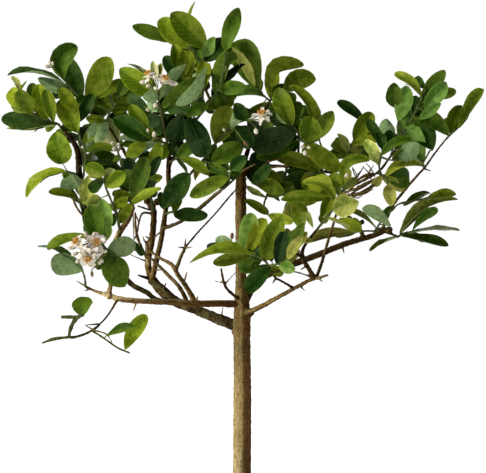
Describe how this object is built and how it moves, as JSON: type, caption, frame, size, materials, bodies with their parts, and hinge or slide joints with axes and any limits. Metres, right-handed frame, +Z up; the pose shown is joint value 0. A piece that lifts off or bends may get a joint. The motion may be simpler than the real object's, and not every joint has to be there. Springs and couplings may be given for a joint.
{
  "type": "lemon bonsai",
  "caption": "Bonsai lemon tree with a straight bare trunk, a wide crown of leathery leaves, white blossoms and buds, in soil in a round glazed pot.",
  "frame": {"origin": "middle of the pot's flat foot, on the surface that the pot stands on", "axes": "+Z up along the trunk, +Y away from the picture's viewer, +X to the viewer's right"},
  "size_m": [0.5812, 0.3402, 0.6968],
  "materials": {
    "bark": "rough, finely fissured bark, light tan to dark brown",
    "leaf": "leathery satin leaf, from dark green to bright green, on green shoots",
    "petal": "waxy white petal with a faint pink flush",
    "stamen": "matte orange anthers",
    "bud": "waxy white closed bud",
    "soil": "dark crumbly soil",
    "glaze": "satin slate-blue glaze"
  },
  "bodies": {
    "root": {"blossom_left_a": "petal", "blossom_left_b": "petal", "blossom_left_c": "petal", "blossom_mid": "petal", "blossom_top_a": "petal", "blossom_top_b": "petal", "buds_crown_right": "bud", "buds_left_mid": "bud", "buds_left_top": "bud", "pot": "glaze", "soil": "soil", "spray_blossom_left": "leaf", "spray_blossom_mid": "leaf", "spray_blossom_top": "leaf", "spray_cross": "leaf", "spray_crown_end": "leaf", "spray_crown_right": "leaf", "spray_crown_rise": "leaf", "spray_dark_stem": "leaf", "spray_far_left": "leaf", "spray_front": "leaf", "spray_hanging_mid": "leaf", "spray_inner": "leaf", "spray_left_high": "leaf", "spray_left_inner": "leaf", "spray_left_low": "leaf", "spray_left_mid": "leaf", "spray_left_rise": "leaf", "spray_left_shelf": "leaf", "spray_left_side": "leaf", "spray_left_top": "leaf", "spray_long_right": "leaf", "spray_low_left_end": "leaf", "spray_lowest": "leaf", "spray_mid_left": "leaf", "spray_rear_end": "leaf", "spray_rear_left": "leaf", "spray_rear_mid": "leaf", "spray_rear_outer": "leaf", "spray_rear_right": "leaf", "spray_rear_top": "leaf", "spray_right_crown": "leaf", "spray_right_end": "leaf", "spray_right_fork": "leaf", "spray_right_hook": "leaf", "spray_right_main": "leaf", "spray_right_rise": "leaf", "spray_right_tip": "leaf", "spray_right_top": "leaf", "spray_top_left": "leaf", "spray_trunk_top": "leaf", "spray_upper": "leaf", "spray_upper_right": "leaf", "stamens_left_a": "stamen", "stamens_left_b": "stamen", "stamens_left_c": "stamen", "stamens_mid": "stamen", "stamens_top_a": "stamen", "stamens_top_b": "stamen", "trunk_and_branches": "bark"}
  },
  "joints": []
}
